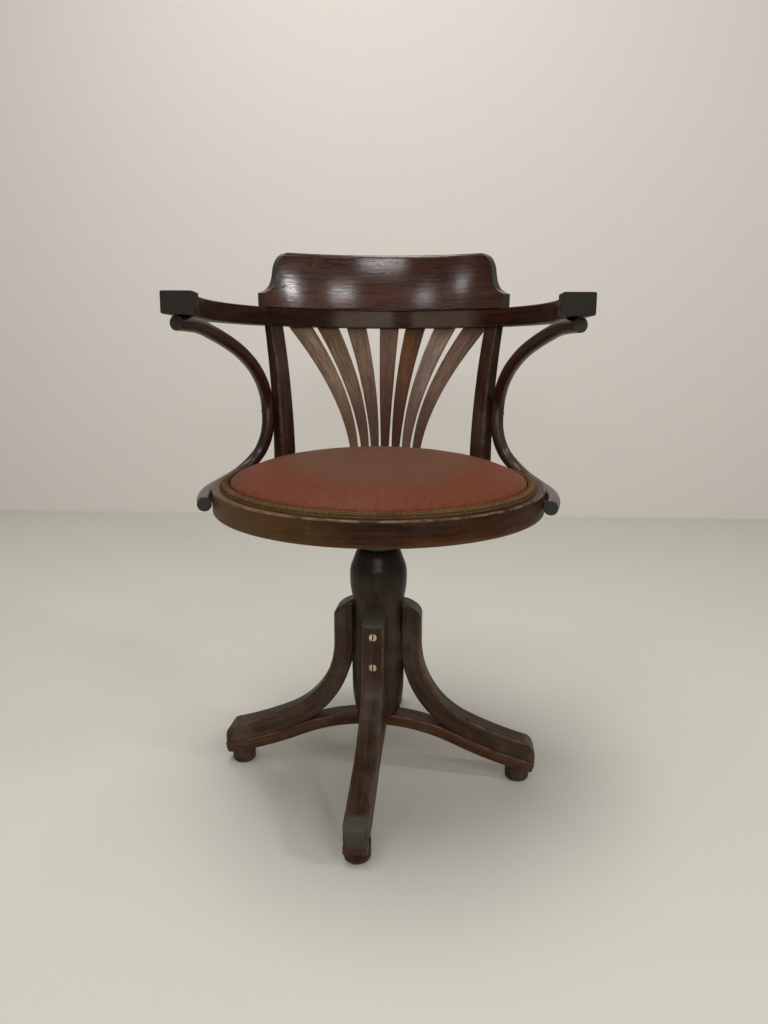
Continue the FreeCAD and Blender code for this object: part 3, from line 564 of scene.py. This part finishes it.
def brassFinish():
    finish = Finish("wornBrass")
    x, y, z = finish.place()
    tarnish = finish.smooth(finish.noise(finish.spot, 260.0, detail=4.0, rough=0.6), 0.42, 0.66)
    colour = finish.mix(tarnish * 0.55, (0.66, 0.55, 0.34), (0.24, 0.17, 0.080))
    # painted shade: the slots are painted near black
    reach, aside = armOfBase(finish, x, y, 0.0)
    face = baseSizes["legFace"] + baseSizes["legThickness"]
    sunk = face - finish.math("MAXIMUM", abs(reach), abs(aside))
    colour = finish.mix(finish.smooth(sunk, 0.0002, 0.0006), colour, (0.016, 0.012, 0.008))
    finish.set(Base_Color=colour, Roughness=tarnish * 0.25 + 0.24, Metallic=1 - tarnish * 0.25)
    scratches = finish.noise(finish.vector(x * 2500, y * 2500, z * 300), detail=2.0)
    finish.set(Normal=finish.relief(scratches, 0.00008, 0.4))
    return finish


def feltFinish():
    finish = Finish("greyFelt")
    fluff = finish.noise(finish.spot, 900.0, detail=4.0)
    finish.set(Base_Color=finish.mix(fluff, (0.030, 0.028, 0.025), (0.085, 0.080, 0.070)),
               Roughness=0.95, Normal=finish.relief(fluff, 0.0006))
    return finish


iron = ironFinish()
brass = brassFinish()
paint(iron, "spindle", "spindle_nut", "spider_plate", "spider_screws", "batten_screws", "nut_screws",
      "hub_bolt", "toe_screws", "brace_screws")
paint(brass, "leg_screws")
paint(feltFinish(), "slip_washer")


# Seat pad

padLook = {"red": (0.102, 0.0240, 0.0084), "rubbedRed": (0.080, 0.0365, 0.0190),
           "deepRed": (0.046, 0.0105, 0.0045), "brightRed": (0.122, 0.034, 0.013),
           "scuffed": (0.15, 0.078, 0.048), "rings": 36, "spokes": 144, "shrink": 0.0012,
           "postGap": 0.0012, "postEase": 0.004, "lining": 0.0001, "voxel": 0.005,
           "cap": 0.005, "tackedTo": 0.011, "tackedFade": 0.006, "pressure": 4.0, "steps": 20}


def leatherFinish():
    finish = Finish("redLeather")
    x, y, z = finish.place()
    # rubbed dull where a sitter slides in, longer from front to back than across
    ahead = y - 0.01
    spread = finish.math("SQRT", x * x * 1.2 + ahead * ahead * 0.75)
    cloud = finish.noise(finish.spot, 16.0, detail=4.0, rough=0.6)
    rubbed = finish.smooth(spread + cloud * 0.07, 0.200, 0.152)
    blotch = finish.noise(finish.spot, 5.5, detail=3.0)
    fine = finish.noise(finish.spot, 130.0, detail=4.0, rough=0.65)
    colour = finish.mix(finish.smooth(fine, 0.38, 0.68) * 0.35, padLook["red"], padLook["deepRed"])
    colour = finish.mix(finish.smooth(blotch, 0.40, 0.65) * 0.25, colour, padLook["brightRed"])
    colour = finish.mix(rubbed * 0.8, colour, padLook["rubbedRed"])
    pebbleCells = finish.cells(finish.spot, 820.0)
    creases = finish.cells(finish.vector(x, y * 1.3, z), 95.0, "DISTANCE_TO_EDGE")
    crease = finish.smooth(creases, 0.035, 0.0)
    colour = finish.mix(crease * 0.14, colour, padLook["deepRed"])
    scuff = finish.noise(finish.vector(x * 60, y * 420, z * 60), detail=3.0, rough=0.7)
    scuff = finish.smooth(scuff, 0.66, 0.76) * rubbed
    colour = finish.mix(scuff * 0.4, colour, padLook["scuffed"])
    height = pebbleCells * -0.6 - crease * 0.6 + fine * 0.5
    finish.set(Base_Color=colour, Roughness=rubbed * 0.10 + fine * 0.12 + 0.54,
               Specular_IOR_Level=0.12, Normal=finish.relief(height, 0.00030, 0.6))
    return finish


def padPoint(angle, lift, radius, height):
    # lift is 0 at the rim and a quarter turn at the crown
    s = seatSizes
    shoulder = s["ringTop"] + s["padEdge"]
    reach = radius * math.cos(lift)
    rise = (height - s["padEdge"]) * math.sin(lift)
    return Vector((reach * math.cos(angle), reach * math.sin(angle) - s["padForward"], shoulder + rise))


def clearOfPosts(point, gap):
    # the leather is cut and tucked round the feet of the posts
    for side in (-1, 1):
        beside = point.x * side - backSizes["postFoot"][0]
        behind = point.y - backSizes["postFoot"][1]
        across, inward = (beside - behind) * math.sqrt(0.5), (beside + behind) * math.sqrt(0.5)
        halfDepth, halfWidth = backSizes["postFootHalf"]
        over = halfWidth + gap - abs(across)
        if over > 0 and inward > -halfDepth - gap:
            ease = min(1.0, over / padLook["postEase"])
            shift = (inward + halfDepth + gap) * ease * math.sqrt(0.5)
            point.x -= side * shift
            point.y -= shift
    return point


def padMesh():
    s, look = seatSizes, padLook
    mesh = bmesh.new()
    rings, spokes = look["rings"], look["spokes"]
    radius, height = s["padRadius"] - look["shrink"], s["padHeight"] - look["shrink"]
    bottom = s["ringTop"] + look["lining"]
    loops = []
    for ring in range(rings):
        lift = math.pi / 2 * ring / rings
        row = [padPoint(math.tau * k / spokes, lift, radius, height) for k in range(spokes)]
        loops.append([mesh.verts.new(clearOfPosts(p, look["postGap"])) for p in row])
    crown = mesh.verts.new(padPoint(0, math.pi / 2, radius, height))
    foot = []
    for vert in loops[0]:
        foot.append(mesh.verts.new((vert.co.x, vert.co.y, bottom)))
    middle = mesh.verts.new((0, -s["padForward"], bottom))
    loops.insert(0, foot)
    for low, high in zip(loops, loops[1:]):
        for k in range(spokes):
            n = (k + 1) % spokes
            mesh.faces.new((low[k], low[n], high[n], high[k]))
    for k in range(spokes):
        n = (k + 1) % spokes
        mesh.faces.new((loops[-1][k], loops[-1][n], crown))
        mesh.faces.new((foot[n], foot[k], middle))
    data = bpy.data.meshes.new("pad")
    mesh.to_mesh(data)
    mesh.free()
    return data


def addPiece(name, data):
    piece = bpy.data.objects.new(name, data)
    bpy.context.scene.collection.objects.link(piece)
    for face in data.polygons:
        face.use_smooth = True
    return piece


def onlyActive(piece):
    bpy.ops.object.select_all(action="DESELECT")
    piece.select_set(True)
    bpy.context.view_layer.objects.active = piece


def swell(piece):
    # blows the leather up a little over its stuffing, and holds it where it is tacked down
    look = padLook
    onlyActive(piece)
    remesh = piece.modifiers.new("remesh", "REMESH")
    remesh.mode = "VOXEL"
    remesh.voxel_size = look["voxel"]
    bpy.ops.object.modifier_apply(modifier=remesh.name)
    rest = [v.co.copy() for v in piece.data.vertices]
    tacked = piece.vertex_groups.new(name="tacked")
    floor = seatSizes["ringTop"]
    for vert in piece.data.vertices:
        below = floor + look["tackedTo"] - vert.co.z
        weight = max(0.0, min(1.0, below / look["tackedFade"]))
        if weight > 0:
            tacked.add([vert.index], weight, "REPLACE")
    cloth = piece.modifiers.new("cloth", "CLOTH")
    cloth.settings.vertex_group_mass = tacked.name
    cloth.settings.use_pressure = True
    cloth.settings.uniform_pressure_force = look["pressure"]
    cloth.settings.tension_stiffness = 30.0
    cloth.settings.bending_stiffness = 2.0
    cloth.settings.quality = 5
    cloth.settings.effector_weights.gravity = 0.0
    cloth.collision_settings.use_collision = False
    scene = bpy.context.scene
    for step in range(1, look["steps"] + 1):
        scene.frame_set(step)
    bpy.ops.object.modifier_apply(modifier=cloth.name)
    for vert, start in zip(piece.data.vertices, rest):
        move = vert.co - start
        if move.length > look["cap"]:
            vert.co = start + move.normalized() * look["cap"]
        vert.co.z = max(vert.co.z, floor + look["lining"])
    scene.frame_set(1)


print("making the pad")
pad = addPiece("seat_pad", padMesh())
swell(pad)
onlyActive(pad)
rounding = pad.modifiers.new("rounding", "SUBSURF")
rounding.levels = rounding.render_levels = 1
bpy.ops.object.modifier_apply(modifier=rounding.name)
for face in pad.data.polygons:
    face.use_smooth = True
paint(leatherFinish(), pad.name)
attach(pad, "seat")
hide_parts("seat_cover", "padding")


# Braid that hides the tacks

braidLook = {
    "cord": 0.0011, "sway": 0.23, "waves": 150, "stepsPerWave": 12,
    "edgeCord": 0.0009, "edgeShares": (0.05, 0.93), "edgeSteps": 720, "postGap": 0.082,
    "base": ((0.070, 0.038, 0.015), (0.022, 0.011, 0.005)),
    "plait": ((0.150, 0.080, 0.027), (0.034, 0.016, 0.006)),
    "edge": ((0.112, 0.060, 0.021), (0.030, 0.015, 0.006)),
}


def braidFinish(name, part):
    pale, dark = braidLook[part]
    finish = Finish(name)
    x, y, z = finish.place()
    angle = finish.math("ARCTAN2", x, y * -1)
    thread = finish.noise(finish.vector(angle * 260, z * 2200, 0.0), detail=2.0)
    soil = finish.smooth(finish.noise(finish.spot, 24.0, detail=4.0), 0.40, 0.66)
    colour = finish.mix(finish.smooth(thread, 0.36, 0.62), dark, pale)
    colour = finish.mix(soil * 0.5, colour, dark)
    finish.set(Base_Color=colour, Roughness=0.88, Specular_IOR_Level=0.1,
               Normal=finish.relief(thread, 0.0004))
    return finish


def trimPoint(angle, share, lift):
    # share goes from the inner edge of the braid, over its round top, to its outer edge
    s = seatSizes
    reach = s["padRadius"] - 0.0012 + share * (s["trimOuter"] - s["padRadius"] + 0.0010)
    drop = s["trimHeight"] * share ** 3.4
    radius = reach + lift * share
    height = s["ringTop"] + s["trimHeight"] - drop + lift * (1 - 0.5 * share)
    return Vector((radius * math.sin(angle), -radius * math.cos(angle) - s["padForward"], height))


def addCord(mesh, points, thickness, sides=6):
    # a round cord through the points, closed at both ends
    loops = []
    for k, point in enumerate(points):
        before, after = points[max(k - 1, 0)], points[min(k + 1, len(points) - 1)]
        heading = (after - before).normalized()
        aside = heading.cross(Vector((0, 0, 1))).normalized()
        up = aside.cross(heading)
        loops.append([mesh.verts.new(point + (aside * math.cos(a) + up * math.sin(a)) * thickness)
                      for a in (math.tau * i / sides for i in range(sides))])
    for low, high in zip(loops, loops[1:]):
        for i in range(sides):
            n = (i + 1) % sides
            mesh.faces.new((low[i], low[n], high[n], high[i]))
    mesh.faces.new(loops[0][::-1])
    mesh.faces.new(loops[-1])


def braidArcs():
    # the posts part the braid into a long front run and a short rear one
    post = math.pi - math.atan2(backSizes["postFoot"][0], backSizes["postFoot"][1])
    gap = braidLook["postGap"]
    return ((-post + gap, post - gap), (post + gap, math.tau - post - gap))


def plaitCords(mesh, start, end):
    # two cords that cross over and under each other
    look = braidLook
    steps = int((end - start) / math.tau * look["waves"] * look["stepsPerWave"])
    for phase in (0.0, math.pi):
        points = []
        for k in range(steps + 1):
            angle = start + (end - start) * k / steps
            turn = angle * look["waves"] + phase
            over = 0.00045 * math.cos(turn * 2 + phase) + 0.0006
            points.append(trimPoint(angle, 0.48 + look["sway"] * math.sin(turn), over))
        addCord(mesh, points, look["cord"])


def edgeCords(mesh, start, end):
    look = braidLook
    steps = int((end - start) / math.tau * look["edgeSteps"])
    angles = [start + (end - start) * k / steps for k in range(steps + 1)]
    for share in look["edgeShares"]:
        addCord(mesh, [trimPoint(angle, share, 0.0002) for angle in angles], look["edgeCord"])


def addBraid(name, cords, finish):
    mesh = bmesh.new()
    for start, end in braidArcs():
        cords(mesh, start, end)
    data = bpy.data.meshes.new(name)
    mesh.to_mesh(data)
    mesh.free()
    piece = addPiece(name, data)
    paint(finish, piece.name)
    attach(piece, "seat")


print("making the braid")
addBraid("braid_plait", plaitCords, braidFinish("goldBraid", "plait"))
addBraid("braid_edges", edgeCords, braidFinish("goldCord", "edge"))
paint(braidFinish("braidBase", "base"), "edge_trim")


# Stage, light and camera

stageLook = {
    "floor": (0.485, 0.472, 0.419), "wall": (0.640, 0.596, 0.548),
    "side": 6, "front": -5, "wallY": 1.62, "wallTop": 4,
}


def stageFinish(name, colour):
    # only its front is seen, so that the chair can be looked at from below or behind
    finish = Finish(name)
    finish.set(Base_Color=colour, Roughness=0.85)
    clear = finish.node("ShaderNodeBsdfTransparent")
    facing = finish.node("ShaderNodeNewGeometry", output=6)
    shown = Signal(finish, finish.shader.outputs[0])
    both = finish.node("ShaderNodeMixShader", sockets={0: facing, 1: shown, 2: clear})
    out = finish.tree.nodes["Material Output"]
    finish.tree.links.new(both.socket, out.inputs[0])
    return finish


def addSheet(name, corners, finish):
    data = bpy.data.meshes.new(name)
    data.from_pydata(corners, [], [tuple(range(len(corners)))])
    piece = bpy.data.objects.new(name, data)
    bpy.context.scene.collection.objects.link(piece)
    data.materials.append(finish.material)


print("making the stage")
side, front, back, top = (stageLook[key] for key in ("side", "front", "wallY", "wallTop"))
addSheet("floor", [(-side, front, 0), (side, front, 0), (side, back, 0), (-side, back, 0)],
         stageFinish("paleFloor", stageLook["floor"]))
addSheet("wall", [(-side, back, 0), (side, back, 0), (side, back, top), (-side, back, top)],
         stageFinish("paleWall", stageLook["wall"]))

lamps = {
    "ceiling": {"place": (-0.3, 0.05, 2.7), "aim": (0, 0, 0.3), "size": (1.5, 1.0), "power": 45},
    "farRight": {"place": (2.45, -0.85, 1.95), "aim": (-0.14, 0.19, 0.71),
                 "size": (0.26, 0.32), "power": 18},
    "nearRight": {"place": (1.25, -2.05, 2.15), "aim": (-0.07, 0.23, 0.70),
                  "size": (0.70, 0.30), "power": 12.5},
    "nearLeft": {"place": (-1.30, -1.95, 2.20), "aim": (0.06, 0.23, 0.69),
                 "size": (0.50, 0.30), "power": 4.7},
    "farLeft": {"place": (-2.30, -1.30, 1.85), "aim": (0.12, 0.21, 0.71),
                "size": (0.36, 0.36), "power": 4.7},
    "doorway": {"place": (0.0, -2.9, 1.36), "aim": (0, 0.24, 0.74), "size": (1.5, 0.18), "power": 24},
}
for name, lamp in lamps.items():
    light = bpy.data.lights.new(name, "AREA")
    light.shape = "RECTANGLE"
    light.size, light.size_y = lamp["size"]
    light.energy = lamp["power"]
    holder = bpy.data.objects.new(name, light)
    bpy.context.scene.collection.objects.link(holder)
    holder.location = lamp["place"]
    heading = Vector(lamp["aim"]) - Vector(lamp["place"])
    holder.rotation_mode = "QUATERNION"
    holder.rotation_quaternion = heading.to_track_quat("-Z", "Y")

skyLook = {"low": (0.118, 0.113, 0.106), "lowAt": 0.10, "high": (0.44, 0.424, 0.40), "highAt": 0.85}
world = bpy.data.worlds.new("paleRoom")
bpy.context.scene.world = world
world.use_nodes = True
sky = world.node_tree.nodes["Background"]
# darker at the horizon than overhead, as a room is
direction = world.node_tree.nodes.new("ShaderNodeTexCoord")
height = world.node_tree.nodes.new("ShaderNodeSeparateXYZ")
shade = world.node_tree.nodes.new("ShaderNodeValToRGB")
world.node_tree.links.new(direction.outputs[0], height.inputs[0])
world.node_tree.links.new(height.outputs[2], shade.inputs[0])
world.node_tree.links.new(shade.outputs[0], sky.inputs[0])
for stop, end in zip(shade.color_ramp.elements, ("low", "high")):
    stop.position = skyLook[end + "At"]
    stop.color = (*skyLook[end], 1)
sky.inputs[1].default_value = 1.0

cameraView = {"place": (0.0363, -1.0387, 0.6407), "round": 2.0, "yaw": 0.40, "pitch": 13.35,
              "roll": 0.30, "lens": 27.04}


def addCamera():
    view = cameraView
    bearing = math.radians(view["round"])
    ahead = Vector((-math.sin(bearing), math.cos(bearing), 0))
    right = Vector((math.cos(bearing), math.sin(bearing), 0))
    up = Vector((0, 0, 1))
    yaw, pitch, roll = (math.radians(view[k]) for k in ("yaw", "pitch", "roll"))
    level = ahead * math.cos(yaw) + right * math.sin(yaw)
    right = right * math.cos(yaw) - ahead * math.sin(yaw)
    heading = level * math.cos(pitch) - up * math.sin(pitch)
    top = level * math.sin(pitch) + up * math.cos(pitch)
    right, top = (right * math.cos(roll) + top * math.sin(roll),
                  top * math.cos(roll) - right * math.sin(roll))
    lens = bpy.data.cameras.new("camera")
    lens.lens = view["lens"]
    holder = bpy.data.objects.new("camera", lens)
    bpy.context.scene.collection.objects.link(holder)
    turned = Matrix((right, top, -heading)).transposed().to_4x4()
    holder.matrix_world = Matrix.Translation(view["place"]) @ turned
    bpy.context.scene.camera = holder


addCamera()
bpy.context.scene.view_settings.view_transform = "Standard"

bpy.context.view_layer.update()
print("done")
